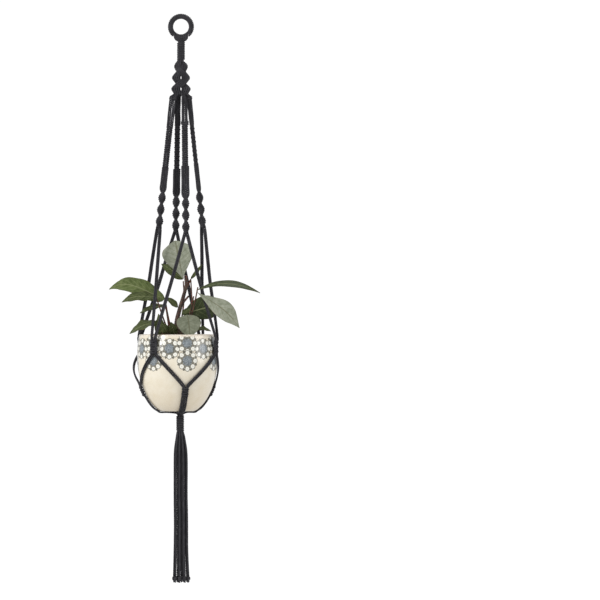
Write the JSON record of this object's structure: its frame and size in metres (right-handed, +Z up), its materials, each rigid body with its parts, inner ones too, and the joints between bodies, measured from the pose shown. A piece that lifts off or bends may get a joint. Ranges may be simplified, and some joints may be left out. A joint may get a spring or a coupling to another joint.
{
  "type": "hanging macrame planter",
  "caption": "Black knotted cord plant hanger on a wrapped ring, with knotted legs and a cradle that holds a round glazed pot with a leafy plant, and a long tassel below.",
  "frame": {"origin": "where a hook bears, on the underside of the top of the ring", "axes": "+Z up, +X to the right and -Y to the front; the ring lies in the XZ plane"},
  "size_m": [0.2791, 0.1644, 1.0472],
  "materials": {
    "cord": "soft twisted cotton cord, charcoal black",
    "ring_steel": "plain steel wire ring, under the winding",
    "glaze": "cream glaze with blue-grey painted flowers",
    "soil": "loose dark potting mix of bark, peat and fibre",
    "stem": "reddish brown living stem",
    "leaf": "thick waxy leaf, dark green above and pale grey-green beneath"
  },
  "bodies": {
    "ring": {"ring_core": "ring_steel", "ring_wrap": "cord", "head_loops": "cord"},
    "hanger": {"neck_strands": "cord", "neck_wrap": "cord", "crown_knot_upper": "cord", "crown_knot_middle": "cord", "crown_knot_lower": "cord", "left_upper_strands": "cord", "left_square_knots": "cord", "left_middle_strands": "cord", "left_spiral": "cord", "left_drop_strands": "cord", "left_yoke": "cord", "front_upper_strands": "cord", "front_square_knots": "cord", "front_middle_strands": "cord", "front_spiral": "cord", "front_drop_strands": "cord", "front_yoke": "cord", "right_upper_strands": "cord", "right_square_knots": "cord", "right_middle_strands": "cord", "right_spiral": "cord", "right_drop_strands": "cord", "right_yoke": "cord", "back_upper_strands": "cord", "back_square_knots": "cord", "back_middle_strands": "cord", "back_spiral": "cord", "back_drop_strands": "cord", "back_yoke": "cord", "front_left_collar": "cord", "front_left_cradle_strands": "cord", "front_right_collar": "cord", "front_right_cradle_strands": "cord", "back_right_collar": "cord", "back_right_cradle_strands": "cord", "back_left_collar": "cord", "back_left_cradle_strands": "cord", "base_strands": "cord", "base_hub": "cord"},
    "pot": {"pot": "glaze", "soil": "soil", "main_stem": "stem", "leaf_stalks": "stem", "top_leaf": "leaf", "left_leaf": "leaf", "left_second_leaf": "leaf", "left_low_leaf": "leaf", "right_long_leaf": "leaf", "right_pale_leaf": "leaf", "right_dark_leaf": "leaf", "front_leaf": "leaf", "young_leaves": "leaf"},
    "gather": {"gather_strands": "cord", "gather_wrap": "cord"},
    "tassel": {"tassel_strands": "cord", "end_knots": "cord"}
  },
  "joints": [
    {"name": "hanger_swing", "type": "hinge", "parent": "ring", "child": "hanger", "pos_m": [0, 0, -0.0338], "axis": [1, 0, 0], "range_deg": [-40, 40]},
    {"name": "pot_lift", "type": "slide", "parent": "hanger", "child": "pot", "axis": [0, 0, 1], "range_m": [0, 0.012]},
    {"name": "gather_sway", "type": "hinge", "parent": "hanger", "child": "gather", "pos_m": [-0.0015, 0, -0.729], "axis": [1, 0, 0], "range_deg": [-25, 25]},
    {"name": "tassel_sway", "type": "hinge", "parent": "gather", "child": "tassel", "pos_m": [-0.0015, 0, -0.7676], "axis": [0, 1, 0], "range_deg": [-25, 25]}
  ]
}
